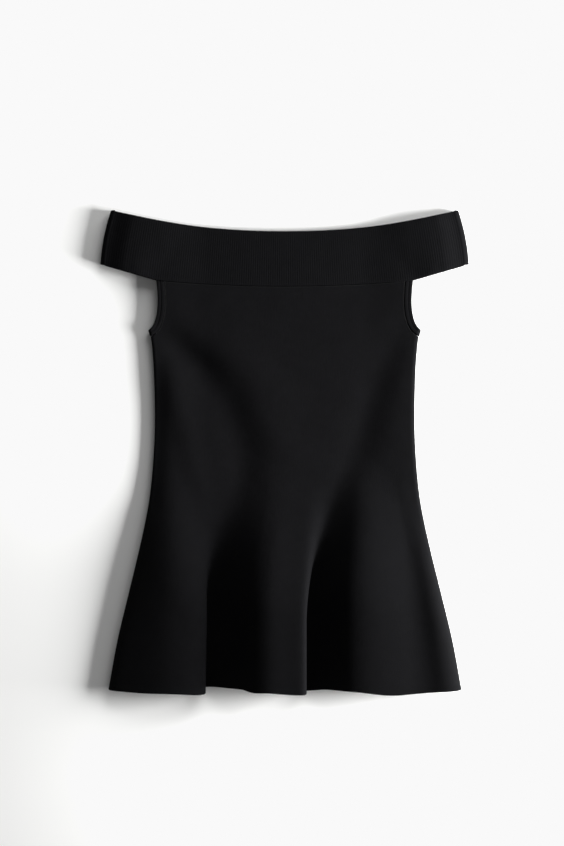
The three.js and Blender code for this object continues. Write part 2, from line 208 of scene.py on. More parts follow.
FRONT_LINES = table(LINE_COLUMNS, {
    "left seam": (-161.6, -219.5, 6.15, -0.5, 0),
    "left nose": (-161.2, -219.5, 9.5, -0.5, 0),
    "left shoulder": (-158.5, -215.5, 13.2, 0, 5),
    "left side": (-149.5, -194, 18.5, 1, 15),
    "left flank": (-142, -170, 24, 2, 15),
    "left crest": (-132, -147, 27.8, 1.6, 10),
    "left back": (-120.8, -126, 27.6, 2.4, 0),
    "left brow": (-108.3, -109, 24, 4, -10),
    "left turn": (-94.5, -97.4, 17.5, 4, -20),
    "left under": (-80.8, -100, 10, 1, -28),
    "left tuck": (-69.5, -103.5, 4.6, -3, -26),
    "left floor": (-59, -95, 5, -4, -20),
    "left floor middle": (-48.5, -80, 11, -4, -14),
    "left floor end": (-38.5, -64, 20, -3.5, -10),
    "centre foot": (-30, -51, 28, -4, -10),
    "centre rise": (-23.5, -45, 33, -1.8, -10),
    "centre flank": (-17.5, -39, 37, -1, -10),
    "centre shoulder": (-11.5, -32, 40.5, -1.2, -12),
    "centre top": (-4.5, -21, 43.5, -2, -14),
    "centre crest": (3.5, -9, 43.8, -1, -16),
    "centre back": (13, 6, 43.4, 0.3, -18),
    "centre brow": (23.5, 18.5, 44, 0.5, -20),
    "centre turn": (35, 27.2, 43, 0.5, -22),
    "centre under": (47, 26, 24, 0.5, -22),
    "centre tuck": (57.5, 19.5, 5.8, 1, -20),
    "right floor": (66, 27, 5, 1.5, -12),
    "right floor middle": (73, 42, 11, -0.8, -4),
    "right floor end": (80.5, 55, 18, -2.2, 0),
    "right foot": (87.5, 65.5, 25, -2.2, 2),
    "right rise": (93.5, 74, 31, -2.2, 2),
    "right flank": (99, 82, 35.2, -2.2, 0),
    "right shoulder": (104.5, 91, 37.4, -2, -2),
    "right top": (110.5, 102, 38.7, -1, -5),
    "right crest": (117, 117, 38.8, 1, -10),
    "right back": (123.5, 134, 37.4, 2.4, -15),
    "right slope": (130, 151, 35.1, 1.2, -20),
    "right trough": (136.5, 168, 32.4, 0, -25),
    "right rim": (142.5, 183, 32.4, -1, -25),
    "right side": (149, 197, 36, -2, -30),
    "right shoulder edge": (155, 210, 34.5, -2.7, -30),
    "right roll": (159.5, 218, 28, -3, -30),
    "right nose": (161.4, 219.5, 21, -3, -30),
    "right seam": (161.6, 219.5, 14.15, -3, -30),
}.values())

BACK_LINES = table(LINE_COLUMNS, {
    "left seam": (-161.6, -219.5, 5.85, -1.5, 0),
    "left nose": (-161.2, -219.4, 2.8, -2, 0),
    "left curl": (-158, -216, 0.75, -3, 0),
    "left edge floor": (-148, -203, 0.75, -3, 0),
    "left wave foot": (-135, -187, 0.75, -3, 0),
    "left wave rise": (-122, -170, 8, -3, -10),
    "left wave crest": (-108, -153, 14, -3, -10),
    "left wave fall": (-94, -136, 8, -3, -20),
    "left floor": (-80, -120, 0.75, -4, -30),
    "left floor middle": (-66, -95, 0.75, -6, -30),
    "left floor end": (-52, -66, 0.75, -6, -30),
    "centre foot": (-40, -42, 0.75, -5, -32),
    "centre rise": (-26, -29, 12, -4, -32),
    "centre crest": (-10, -13, 24, -4, -32),
    "centre fall": (6, 2, 12, -4, -32),
    "centre floor": (22, 14, 0.75, -4, -32),
    "right floor": (38, 38, 0.75, -4, -30),
    "right floor end": (54, 64, 0.75, -5, -25),
    "right foot": (70, 87, 0.75, -5, -20),
    "right rise": (86, 104, 10, -4, -20),
    "right crest": (101, 124, 18, -3, -20),
    "right fall": (114, 146, 12, -3, -20),
    "right low": (127, 167, 4, -3, -25),
    "right edge floor": (140, 186, 0.75, -3, -30),
    "right curl": (151, 204, 1.2, -4, -30),
    "right curl rise": (158.5, 215, 4, -4, -30),
    "right nose": (161.3, 219.4, 8.5, -4, -30),
    "right seam": (161.6, 219.5, 13.85, -4, -30),
}.values())
print(len(FRONT_LINES["waist"]), "lines on the front,", len(BACK_LINES["waist"]), "on the back")

# %% [markdown]
# ## Soft creases
#
# Where the arms would hang, the body pulls into long shallow troughs that run from the underarm towards
# the middle, and between them the cloth stands up in soft ridges. Each is a curve on the cloth with a
# width and a rise, which is negative for a trough: its cross-section is a bell curve, and it fades out
# at both ends, so it has no hard start. The back has some of its own, which lift it off the table.

# %% The creases, listed
CREASE_COLUMNS = "from_x from_y via_x via_y to_x to_y width rise"

FRONT_CREASES = table(CREASE_COLUMNS, {
    "left armhole": (-155, 150, -136, 142, -92, 96, 16, -3.6),
    "left underarm": (-153, 132, -42, 82, -50, -62, 23, -4.2),
    "left chest": (-104, 162, -28, 108, 0, -14, 34, 2.6),
    "left side": (-140, 100, -128, 40, -98, -72, 17, 2.4),
    "left side fall": (-160, 112, -161, 30, -166, -60, 14, -3.4),
    "right underarm": (146, 150, 104, 70, 68, -72, 20, -3.2),
}.values())
BACK_CREASES = table(CREASE_COLUMNS, {
    "right shoulder blade": (120, 190, 70, 120, -10, 80, 16, 1.4),
    "left waist": (-150, 30, -100, 0, -60, -40, 13, 1.0),
    "left shoulder blade": (-125, 190, -80, 155, -20, 135, 12, 1.0),
}.values())
print(len(FRONT_CREASES["rise"]), "creases on the front,", len(BACK_CREASES["rise"]), "on the back")

# %% How far a crease lifts the cloth
# A crease is a run of bells at this many spots. Their rise follows half a sine wave, of which this
# share is left off at both ends.
CREASE_SPOTS = 65
CREASE_END_FADE = 1 / 18


def crease_rise(creases, x, y):
    """How far the creases raise the cloth; each one fades out towards its ends."""
    total = np.zeros(np.broadcast(x, y).shape)
    spots = np.linspace(0, 1, CREASE_SPOTS)
    fades = np.sqrt(np.sin(np.pi * mix(CREASE_END_FADE, 1 - CREASE_END_FADE, spots)))
    for from_x, from_y, via_x, via_y, to_x, to_y, width, rise in zip(*creases.values()):
        bell = np.zeros_like(total)
        for t, fade in zip(spots, fades):
            place_x = from_x * (1 - t) ** 2 + via_x * 2 * t * (1 - t) + to_x * t * t
            place_y = from_y * (1 - t) ** 2 + via_y * 2 * t * (1 - t) + to_y * t * t
            away = ((x - place_x) ** 2 + (y - place_y) ** 2) / width**2
            bell = np.maximum(bell, fade * np.exp(-away))
        total += rise * bell
    return total


underarm_trough = float(crease_rise(FRONT_CREASES, -100.0, 110.0))
print("in the left underarm's trough, the creases move the front by", round(underarm_trough, 1), "mm")

# %% [markdown]
# ## The height of the cloth
#
# Two layers lie on each other. The front lies about 7 mm up on the back, rises to soft rolls near the
# sides and turns down round them to meet the back at the side fold. Nothing on a real table is dead
# flat, so a few long low waves are added, which die out before the seams.

# %% Heights across the body
# Each wave has its length across and down, its start as an angle, and its rise.
UNEVEN_WAVES = table("across down turn rise", [
    (83, 61, 0.4, 0.09),
    (-120, 90, 1.9, 0.1),
    (47, -130, 4.4, 0.04),
])
UNEVEN_FADE = 26.0
BACK_FADE_STARTS, BACK_FADE_ENDS = 6.0, 30.0


def side_half(y):
    """Where the body's side fold lies; above the underarm it runs outward, clear of the armhole."""
    above = SIDE["half"][0] + y - SIDE["y"][0]
    return np.where(y > SIDE["y"][0], above, read_table(SIDE, "half", y))


def panel_half(y):
    """Where a panel's edge lies: sewn to the binding above the underarm, on the side fold below."""
    return np.where(y > UNDERARM_Y, read_table(SEWN_EDGE, "half", y), read_table(SIDE, "half", y))


def fold_drop(inside, radius):
    """How far a round fold has dropped at a distance inside its outermost line."""
    reach = radius - np.clip(inside, 0, radius)
    return radius - np.sqrt(np.maximum(radius**2 - reach**2, 0))


def unevenness(x, y):
    waves = [
        rise * np.sin(2 * np.pi * (x / across + y / down) + turn)
        for across, down, turn, rise in zip(*UNEVEN_WAVES.values())
    ]
    return sum(waves) * smoothstep(side_half(y) - np.abs(x), 0, UNEVEN_FADE)


def front_level(x):
    return mix(CHEST_LEVEL, SIDE_LEVEL, smoothstep(np.abs(x), SIDE_ROLL_STARTS, SIDE_ROLL_ENDS))


def front_height(x, y):
    return front_level(x) + crease_rise(FRONT_CREASES, x, y) + unevenness(x, y)


def back_height(x, y):
    inside = smoothstep(side_half(y) - np.abs(x), BACK_FADE_STARTS, BACK_FADE_ENDS)
    return BACK_LEVEL + crease_rise(BACK_CREASES, x, y) * inside


def body_height(level_at, edge, x, y):
    """Height of a layer's middle on the upper body, round the side fold too."""
    level = level_at(x, y)
    drop = fold_drop(side_half(y) - np.abs(x), np.abs(level - edge))
    return level + np.sign(edge - level) * drop


FRONT_LAYER = {"height": front_height, "edge": FOLD_LEVEL + SEAM_GAP / 2}
BACK_LAYER = {"height": back_height, "edge": FOLD_LEVEL - SEAM_GAP / 2}
print("the chest lies", front_level(0.0), "mm up, the side rolls", front_level(SIDE_ROLL_ENDS), "mm")

# %% [markdown]
# ## A panel, from the flat body into the flutes
#
# Each point of a panel has two addresses: on the flat body above, and on the fluted hem below. A smooth
# switch, which starts at the height where its line's flute begins, slides the point from one to the
# other. So the flutes grow out of the cloth as they do on a real peplum, with no seam between them.

# %% Points on the middle of a panel
def band_low_y(x):
    """The band's lower edge: sewn to the body in the middle, free along the sleeves."""
    out = np.abs(x)
    sewn = np.minimum(out, SEAM_HALF) / SEAM_HALF
    return SEAM_MIDDLE_Y + SEAM_RISE * sewn**2 + SLEEVE_SLOPE * np.maximum(out - SEAM_HALF, 0)


def band_top_y(x):
    return NECK_Y + NECK_RISE * (np.abs(x) / NECK_HALF) ** NECK_POWER


def panel_points(layer, lines, across, down):
    waist, hem, lift, hang, starts = (along_lines(lines, key, across) for key in LINE_COLUMNS.split())
    share = waist / WAIST_HALF
    top = band_low_y(share * ARMHOLE["sewn_x"][0]) - SEAM_GAP
    flat_y = mix(top, HEM_Y, down)
    opened = smoothstep(starts - flat_y, 0, FLUTE_REACH)
    y = flat_y - hang * opened
    half = panel_half(y)
    flat_x = share * half
    spread = mix(1, half / HEM_HALF, (hem / HEM_HALF) ** 2)
    x = mix(flat_x, hem * spread, opened)
    z = mix(body_height(layer["height"], layer["edge"], flat_x, flat_y), lift, opened)
    return np.stack([x, y, z], axis=-1)


print("in the middle, the panels run from", round(float(band_low_y(0.0)), 1), "mm down to", HEM_Y, "mm")

# %% [markdown]
# ## Even steps, with finer ones at the rim
#
# A mesh shades best when its faces are about the same size. The steps across are therefore spaced by
# the length of cloth between them, as an average of the waist's and the hem's, and each rim gets a few
# very narrow ones, because there the cloth's edge is rounded.

# %% Steps across and down a panel
RIM_STEPS = np.array([0, 0.07, 0.25, 0.5, 0.85, 1.6])
# The cloth is measured along two rows, at the waist and at the hem, as shares of its length.
PROBE_COUNT = 2400
PROBE_ROWS = (0.45, 1.0)


def lengths_along(points):
    """How far along its line each point lies."""
    steps = np.linalg.norm(np.diff(points, axis=0), axis=1)
    return np.concatenate([[0], np.cumsum(steps)])


def with_rims(length, count):
    """Distances from 0 to length: narrow steps at both rims and even ones between."""
    middle = np.linspace(RIM_STEPS[-1], length - RIM_STEPS[-1], count + 1)[1:-1]
    return np.concatenate([RIM_STEPS, middle, length - RIM_STEPS[::-1]])


def steps_across(layer, lines, count):
    probe = np.linspace(0, 1, PROBE_COUNT)
    runs = [lengths_along(panel_points(layer, lines, probe, row)) for row in PROBE_ROWS]
    run = np.mean(runs, axis=0)
    return np.interp(with_rims(run[-1], count), run, probe)


def steps_down(armhole_count, body_count):
    """Shares of a panel's length, with a row exactly where the armhole ends."""
    length = ARMHOLE["sewn_y"][0] - HEM_Y
    turn = ARMHOLE["sewn_y"][0] - UNDERARM_Y
    armhole = np.concatenate([RIM_STEPS, np.linspace(RIM_STEPS[-1], turn, armhole_count + 1)[1:]])
    even = np.linspace(turn, length - RIM_STEPS[-1], body_count + 1)[1:-1]
    body = np.concatenate([even, length - RIM_STEPS[::-1]])
    return np.concatenate([armhole, body]) / length


print("each rim has", len(RIM_STEPS), "narrow steps in its first", RIM_STEPS[-1], "mm")

# %% [markdown]
# ## From a middle surface to a wall of cloth
#
# Real cloth has two faces and a rounded edge. Blender's Solidify modifier gives it two faces, but its
# rim is square. Here both faces are moved out along the normals by half the cloth's thickness, times a
# share that falls almost to nothing at the rim in a quarter circle, so the edge of the knit is soft.

# %% Normals, rims and faces
RIM_SHARE_LEAST = 0.16


def face_normals(grid, ring=False):
    """The direction that each point of a grid of middle points faces."""
    along_column = np.gradient(grid, axis=0)
    if ring:
        along_row = np.roll(grid, -1, axis=1) - np.roll(grid, 1, axis=1)
    else:
        along_row = np.gradient(grid, axis=1)
    normals = np.cross(along_column, along_row)
    return normals / np.linalg.norm(normals, axis=-1, keepdims=True)


def rim_distance(grid):
    """How far each point lies from the nearest rim, along the cloth."""
    across = np.linalg.norm(np.diff(grid, axis=1), axis=-1)
    down = np.linalg.norm(np.diff(grid, axis=0), axis=-1)
    left = np.pad(np.cumsum(across, axis=1), ((0, 0), (1, 0)))
    top = np.pad(np.cumsum(down, axis=0), ((1, 0), (0, 0)))
    sides = np.minimum(left, left[:, -1:] - left)
    ends = np.minimum(top, top[-1:, :] - top)
    return np.minimum(sides, ends)


def rounded(distance, radius):
    """The share of full thickness at a distance from a rounded rim."""
    reach = 1 - np.clip(distance / radius, 0, 1)
    return np.maximum(np.sqrt(1 - reach**2), RIM_SHARE_LEAST)


def quads(rows, columns, offset, flip, ring=False):
    """Faces between neighbouring points of a grid."""
    r = np.arange(rows - 1)[:, None]
    c = np.arange(columns if ring else columns - 1)[None, :]
    after = (c + 1) % columns
    corners = [r * columns + c, (r + 1) * columns + c, (r + 1) * columns + after, r * columns + after]
    shape = (rows - 1, c.shape[1])
    faces = np.stack([np.broadcast_to(k, shape) for k in corners], axis=-1).reshape(-1, 4)
    return (faces[:, ::-1] if flip else faces) + offset


print("halfway through its rounding, a rim has", round(float(rounded(0.5, 1)), 3), "of the thickness")

# %% Meshes with a measure of their cloth
def make_mesh(name, points, faces, uv):
    """A smooth-shaded object from points in pattern millimetres; uv is in millimetres of cloth."""
    places = (points + np.array([0, PATTERN_SHIFT_Y, 0])) * MM
    mesh = bpy.data.meshes.new(name)
    mesh.from_pydata(places.tolist(), [], faces.tolist())
    layer = mesh.uv_layers.new(name="cloth")
    corners = np.empty(len(mesh.loops), np.int64)
    mesh.loops.foreach_get("vertex_index", corners)
    layer.data.foreach_set("uv", (uv[corners] * MM).ravel())
    mesh.shade_smooth()
    piece = bpy.data.objects.new(name, mesh)
    scene.collection.objects.link(piece)
    print(name, len(mesh.vertices), "points", 2 * len(mesh.polygons), "triangles")
    return piece


def cloth_uv(grid):
    """Millimetres across the cloth from the middle line, and down it from the top."""
    across = np.linalg.norm(np.diff(grid, axis=1), axis=-1)
    run = np.pad(np.cumsum(across, axis=1), ((0, 0), (1, 0)))
    middle = run[:, -1:] / 2
    down = np.linalg.norm(np.diff(grid, axis=0), axis=-1)
    drop = np.pad(np.cumsum(down, axis=0), ((1, 0), (0, 0)))
    return np.stack([run - middle, drop], axis=-1)


small_sheet = np.stack(np.meshgrid([0.0, 10.0], [0.0, 10.0], [0.0]), axis=-1)[:, :, 0]
print("the corners of a square of 10 mm lie at", cloth_uv(small_sheet).reshape(-1, 2).tolist())

# %% A closed wall of cloth
def panel_wall(name, grid, wall, relief=0.0):
    """A closed wall of cloth round a grid of middle points; relief raises or presses both faces."""
    rows, columns = grid.shape[:2]
    half = wall / 2 * rounded(rim_distance(grid), wall / 2) + relief
    out = face_normals(grid) * half[..., None]
    points = np.concatenate([(grid + out).reshape(-1, 3), (grid - out).reshape(-1, 3)])
    uv = np.tile(cloth_uv(grid).reshape(-1, 2), (2, 1))
    count = rows * columns
    index = np.arange(count).reshape(rows, columns)
    rim = np.concatenate([index[0, :-1], index[:-1, -1], index[-1, :0:-1], index[:0:-1, 0]])
    ahead = np.roll(rim, -1)
    edge = np.stack([rim, ahead, ahead + count, rim + count], axis=-1)
    faces = [quads(rows, columns, 0, False), quads(rows, columns, count, True), edge]
    return make_mesh(name, points, np.concatenate(faces), uv)


print("a panel's wall is", PANEL_WALL, "mm thick, a binding's", BINDING_WALL, "mm")

# %% [markdown]
# ## The two panels
#
# Front and back are the same cut. The front is the one that shows, and its flutes stand up to 45 mm
# high. The back lies on the table and has lower waves of its own inside the front's flutes.

# %% Front and back
FRONT_ACROSS, BACK_ACROSS = 178, 150
ARMHOLE_ROWS, BODY_ROWS = 28, 160


def panel_grid(layer, lines, count):
    across = steps_across(layer, lines, count)
    down = steps_down(ARMHOLE_ROWS, BODY_ROWS)
    return panel_points(layer, lines, across[None, :], down[:, None])


def cloth_area(grid):
    """Square metres of cloth in a grid of middle points."""
    across = np.diff(grid, axis=1)[:-1]
    down = np.diff(grid, axis=0)[:, :-1]
    return np.linalg.norm(np.cross(across, down), axis=-1).sum() * MM * MM


front_grid = panel_grid(FRONT_LAYER, FRONT_LINES, FRONT_ACROSS)
back_grid = panel_grid(BACK_LAYER, BACK_LINES, BACK_ACROSS)
front_panel = panel_wall("front_knit", front_grid, PANEL_WALL)
back_panel = panel_wall("back_knit", back_grid, PANEL_WALL)
print("front", round(cloth_area(front_grid), 4), "back", round(cloth_area(back_grid), 4), "square metres")

# %% [markdown]
# ## The shoulder band
#
# The band is one strip of rib knit, folded double at the neckline and closed into a ring: across the
# chest, round one arm, across the back and round the other. Its ribs are real ridges here and not a
# bump, because they cross the folded edges, where a bump would leave the outline smooth. The ring is
# built from lines that run all the way round it. In order, they go from the fold at the neckline down
# the outer face, round the two lips where the doubled layers meet, and up the inner face.

# %% The band's ribs and its middle surface
RIB_SPACING = 2.8
RIB_DEPTH = 0.2
POINTS_PER_RIB = 6
RIBS_ROUND_FOLD = 4
BAND_BOW_POWER = 7
BAND_HEIGHT = band_top_y(0.0) - band_low_y(0.0)


def band_edge(side, up):
    """A place on the flattened band: side runs from -1 to 1 across it and up from 0 to 1."""
    low_y = band_low_y(side * BAND_LOW_HALF)
    top_y = band_top_y(side * BAND_TOP_HALF)
    bow = side**BAND_BOW_POWER * BAND_END_BOW * 4 * up * (1 - up)
    x = side * mix(BAND_LOW_HALF, BAND_TOP_HALF, up) + bow
    return x, mix(low_y, top_y, up)


def band_level(x, up, inside, radius):
    starts = mix(SLEEVE_LOW_STARTS, SLEEVE_TOP_STARTS, up)
    arch = front_level(x) + SLEEVE_LIFT * smoothstep(np.abs(x), starts, SLEEVE_ENDS)
    return mix(BAND_END_LEVEL, arch, smoothstep(inside, radius, BAND_END_SLOPE))


def band_middle(up, across_count, fold_count):
    """One line of middle points round the ring: the front, the right fold, the back, the left fold."""
    half = band_edge(1.0, up)[0]
    back_level = BAND_WALL / 2
    radius = (BAND_END_LEVEL - back_level) / 2
    inner = 1 - radius / half
    side = np.linspace(-inner, inner, across_count)
    x, y = band_edge(side, up)
    front = np.stack([x, y, band_level(x, up, half * (1 - np.abs(side)), radius)], axis=-1)
    back = np.stack([x, y, np.full_like(x, back_level)], axis=-1)[::-1]
    turn = np.linspace(0, np.pi, fold_count + 2)[1:-1]

    def fold(sign):
        out = sign * mix(band_edge(inner, up)[0], half, np.sin(turn))
        along = np.full_like(turn, band_edge(1.0, up)[1])
        return np.stack([out, along, back_level + radius * (1 + sign * np.cos(turn))], axis=-1)

    return np.concatenate([front, fold(1), back, fold(-1)])


RIBS_ACROSS = round(2 * band_edge(1.0, 0.5)[0] / RIB_SPACING)
BAND_ACROSS = RIBS_ACROSS * POINTS_PER_RIB + 1
BAND_FOLD = RIBS_ROUND_FOLD * POINTS_PER_RIB - 1
print(RIBS_ACROSS, "ribs across the front of the band")

# %% Build the band
# Ribs stand out and in about alike, so this share of their depth is taken off. They fade out where
# the wall is thin, between these shares of its full thickness.
RIB_CENTRE = 0.6
RIB_FADE_STARTS, RIB_FADE_ENDS = 0.1, 0.7
BAND_FOLD_ROWS, BAND_FACE_ROWS, BAND_LIP_ROWS = 6, 10, 8
# A lip turns in from 90 degrees, where the face ends, to this angle.
LIP_END = -84.0


def rib_relief(count):
    """How far the ribs stand out at each point round the ring."""
    turn = np.arange(count) / POINTS_PER_RIB
    return RIB_DEPTH * (np.abs(np.cos(np.pi * turn)) - RIB_CENTRE)


def band_section():
    """Rows from the neckline fold to the lower lips: share of the height, and share of the thickness."""
    half = BAND_WALL / 2
    fold = np.radians(np.linspace(0, 90, BAND_FOLD_ROWS))
    rows = [(1 - half * (1 - math.cos(a)) / BAND_HEIGHT, math.sin(a)) for a in fold]
    lip = half / 2
    face = np.linspace(rows[-1][0], lip / BAND_HEIGHT, BAND_FACE_ROWS + 2)[1:-1]
    rows += [(up, 1.0) for up in face]
    lips = np.radians(np.linspace(90, LIP_END, BAND_LIP_ROWS))
    rows += [(lip * (1 - math.cos(a)) / BAND_HEIGHT, 0.5 + 0.5 * math.sin(a)) for a in lips]
    return np.array(rows).T


def build_band():
    heights, shares = band_section()
    middles = np.stack([band_middle(up, BAND_ACROSS, BAND_FOLD) for up in heights])
    normals = face_normals(middles, ring=True)
    fade = smoothstep(shares, RIB_FADE_STARTS, RIB_FADE_ENDS)
    relief = rib_relief(middles.shape[1]) * fade[:, None]
    out = normals * (shares[:, None] * BAND_WALL / 2 + relief)[..., None]
    grid = np.concatenate([middles + out, (middles - out)[:0:-1]])
    rows, columns = grid.shape[:2]
    across = cloth_uv(middles)
    uv = np.concatenate([across, across[:0:-1]]).reshape(-1, 2)
    last = (rows - 1) * columns + np.arange(columns)
    first = np.arange(columns)
    closing = np.stack([last, first, np.roll(first, -1), np.roll(last, -1)], axis=-1)
    faces = np.concatenate([quads(rows, columns, 0, False, ring=True), closing])
    return make_mesh("band_rib_knit", grid.reshape(-1, 3), faces, uv), middles


band, band_middles = build_band()

# %% [markdown]
# ## The armhole bindings
#
# Each armhole is finished with a narrow knitted binding. It runs from the band's seam down the front of
# the armhole, round the underarm fold and up the back. Two fine lines run along it: the chain that joins
# it to the panel, and a groove where the doubled strip is turned. The groove is pressed into both faces.

# %% Build the bindings
BINDING_ACROSS = 14
BINDING_ROWS = 66
GROOVE_PLACE = 0.52
GROOVE_WIDTH = 0.075
GROOVE_DEPTH = 0.3
BINDING_SIDES = {"left": -1, "right": 1}
# A station is a row of the armhole's table, about so many millimetres from the next. The first even
# row of points lies a little way in, past the rim, and the seam's gap widens near the underarm.
STATIONS = {"y": -np.arange(len(ARMHOLE["free_x"]), dtype=float), **ARMHOLE}
STATION_SPACING = 12
EVEN_ROWS_START = 0.2
GAP_WIDENS, GAP_WIDEST = 5.5, 7


def binding_leg(side, level_at, stations):
    """A strip of middle points from the band's seam to the underarm."""
    free_x = read_table(STATIONS, "free_x", -stations)
    free_y = read_table(STATIONS, "free_y", -stations)
    sewn_y = read_table(STATIONS, "sewn_y", -stations)
    sewn_x = read_table(SEWN_EDGE, "half", sewn_y)
    width = np.hypot(free_x - sewn_x, free_y - sewn_y)
    gap = mix(SEAM_GAP, UNDERARM_GAP, smoothstep(stations, GAP_WIDENS, GAP_WIDEST)) / width
    rim = RIM_STEPS / width.mean()
    even = np.linspace(rim[-1], 1 - rim[-1], BINDING_ACROSS)[1:-1]
    across = np.concatenate([rim, even, 1 - rim[::-1]])
    share = mix(gap[:, None], 1, across[None, :])
    x = mix(sewn_x[:, None], free_x[:, None], share)
    y = mix(sewn_y[:, None], free_y[:, None], share)
    y = np.minimum(y, band_low_y(x) - SEAM_GAP)
    level = level_at(side * x, y)
    radius = np.abs(level - FOLD_LEVEL)
    z = level + np.sign(FOLD_LEVEL - level) * fold_drop(side_half(y) - x, radius)
    return np.stack([side * x, y, z], axis=-1), across


def build_binding(name, side):
    last = len(ARMHOLE["free_x"]) - 1
    even = np.linspace(EVEN_ROWS_START, last, BINDING_ROWS)
    stations = np.concatenate([RIM_STEPS / STATION_SPACING, even])
    front, across = binding_leg(side, front_height, stations)
    back, _ = binding_leg(side, lambda x, y: np.full_like(x, BINDING_WALL / 2), stations)
    grid = np.concatenate([front, back[-2::-1]])
    groove = -GROOVE_DEPTH * np.exp(-(((across - GROOVE_PLACE) / GROOVE_WIDTH) ** 2))
    return panel_wall(name, grid, BINDING_WALL, np.tile(groove, (len(grid), 1))), grid


bindings = [
    build_binding(f"armhole_binding_knit_{name}", side)
    for name, side in BINDING_SIDES.items()
]

# %% [markdown]
# ## The linking stitches
#
# Knitted pieces are joined loop to loop on a linking machine. It leaves a fine chain beside each seam:
# two slanted legs to a stitch, like a row of small Vs. Each leg is a slim bead laid along the seam and
# sunk a little into the knit, so the chain is there in the outline too when somebody looks closely.

# %% One leg of a stitch
STITCH_PITCH = 2.4
STITCH_INSET = 1.0
STITCH_SINK = 0.1
LEG_LENGTH = 2.3
LEG_RADIUS = 0.26
LEG_APART = 0.3
LEG_SLANT = math.radians(14)
LEG_SPOTS = np.array([-1, -0.8, 0, 0.8, 1])
LEG_SHARES = np.array([0.3, 0.75, 1, 0.75, 0.3])
LEG_SIDES = 6


def unit(vectors):
    return vectors / np.linalg.norm(vectors, axis=-1, keepdims=True)


def leg_points(middle, ahead, out, hand):
    """One leg of every stitch in a chain: a slim bead that slants to its own hand."""
    aside = np.cross(out, ahead)
    along = ahead * math.cos(LEG_SLANT) + aside * math.sin(LEG_SLANT) * hand
    across = np.cross(out, along)
    turn = 2 * np.pi * np.arange(LEG_SIDES) / LEG_SIDES
    spin = np.cos(turn)[:, None] * across[:, None, None] + np.sin(turn)[:, None] * out[:, None, None]
    centre = middle + aside * LEG_APART * hand
    line = centre[:, None] + along[:, None] * (LEG_SPOTS * LEG_LENGTH / 2)[:, None]
    return line[:, :, None] + spin * (LEG_SHARES * LEG_RADIUS)[:, None, None]


print("a stitch is", STITCH_PITCH, "mm long, and its legs are", 2 * LEG_RADIUS, "mm thick")

# %% Sew the chains
# The six-sided end of a bead is closed by two faces.
LEG_END = np.array([[0, 3, 2, 1], [0, 5, 4, 3]])
# A chain at the armhole runs along this many rows of the binding, on the front alone.
CHAIN_ROWS = 60
# How many rows or columns in from a seam the cloth's direction and its facing are read.
PANEL_INWARD, PANEL_FACING = 8, 3
BINDING_INWARD, BINDING_FACING = 4, 3


def sew_chain(name, seam, inward, out):
    """A chain beside a seam, on the panel's upper face."""
    path = seam + inward * STITCH_INSET + out * (PANEL_WALL / 2 - STITCH_SINK)
    run = lengths_along(path)
    count = int(run[-1] / STITCH_PITCH)
    spots = (np.arange(count) + 0.5) * run[-1] / count

    def at(values):
        return np.stack([np.interp(spots, run, values[:, axis]) for axis in range(3)], axis=-1)

    middle, ahead, facing = at(path), unit(at(np.gradient(path, axis=0))), unit(at(out))
    legs = np.concatenate([leg_points(middle, ahead, facing, hand) for hand in (-1, 1)])
    rings = len(LEG_SPOTS)
    tube = quads(rings, LEG_SIDES, 0, True, ring=True)
    one = np.concatenate([tube, LEG_END[:, ::-1], LEG_END + (rings - 1) * LEG_SIDES])
    faces = np.concatenate([one + i * rings * LEG_SIDES for i in range(len(legs))])
    points = legs.reshape(-1, 3)
    return make_mesh(name, points, faces, points[:, :2])


outward = face_normals(front_grid)[PANEL_FACING]
inward = unit(front_grid[PANEL_INWARD] - front_grid[0])
chains = [sew_chain("linking_chain_band", front_grid[0], inward, outward)]
for (_, grid), name in zip(bindings, BINDING_SIDES):
    upper = grid[:CHAIN_ROWS]
    outward = face_normals(upper)[:, BINDING_FACING]
    outward = outward * np.sign(outward[:, 2:])
    inward = unit(upper[:, 0] - upper[:, BINDING_INWARD])
    chains.append(sew_chain(f"linking_chain_{name}", upper[:, 0], inward, outward))

# %% [markdown]
# ## Colours and nodes
#
# A colour picked from a screen is an sRGB hex value, and Blender's shaders want linear light. One
# function turns the one into the other, and one small function adds a node with its settings, values and
# links, which keeps each material short enough to read.

# %% Helpers for materials
def linear(hex_colour):
    """An sRGB hex colour as linear RGBA."""
    parts = [int(hex_colour[i:i + 2], 16) / 255 for i in (1, 3, 5)]
    return [c / 12.92 if c <= 0.04045 else ((c + 0.055) / 1.055) ** 2.4 for c in parts] + [1.0]


def add_node(material, kind, values=None, links=None, **settings):
    tree = material.node_tree
    node = tree.nodes.new(kind)
    for key, value in settings.items():
        setattr(node, key, value)
    for socket, value in (values or {}).items():
        node.inputs[socket].default_value = value
    for socket, source in (links or {}).items():
        tree.links.new(source, node.inputs[socket])
    return node


def new_material(name):
    material = bpy.data.materials.new(name)
    material.use_nodes = True
    material.node_tree.nodes.clear()
    return material


print("the screen's grey #808080 is", round(linear("#808080")[0], 3), "in linear light")

# %% [markdown]
# ## Compact black knit
#
# The cloth is a compact viscose knit, dyed black and steamed. Viscose yarn is matt, with a faint bloom
# of loose fibre ends that catches light from the side: that is sheen, not gloss. The stitches are plain
# knit, columns of small Vs 0.93 mm wide, drawn as a bump on the cloth. They are finer than a point of
# the picture, and wider ones would beat against its grid in false stripes, so the grain that shows
# comes from the yarn: long uneven streaks along the columns, in the bump and in the colour.

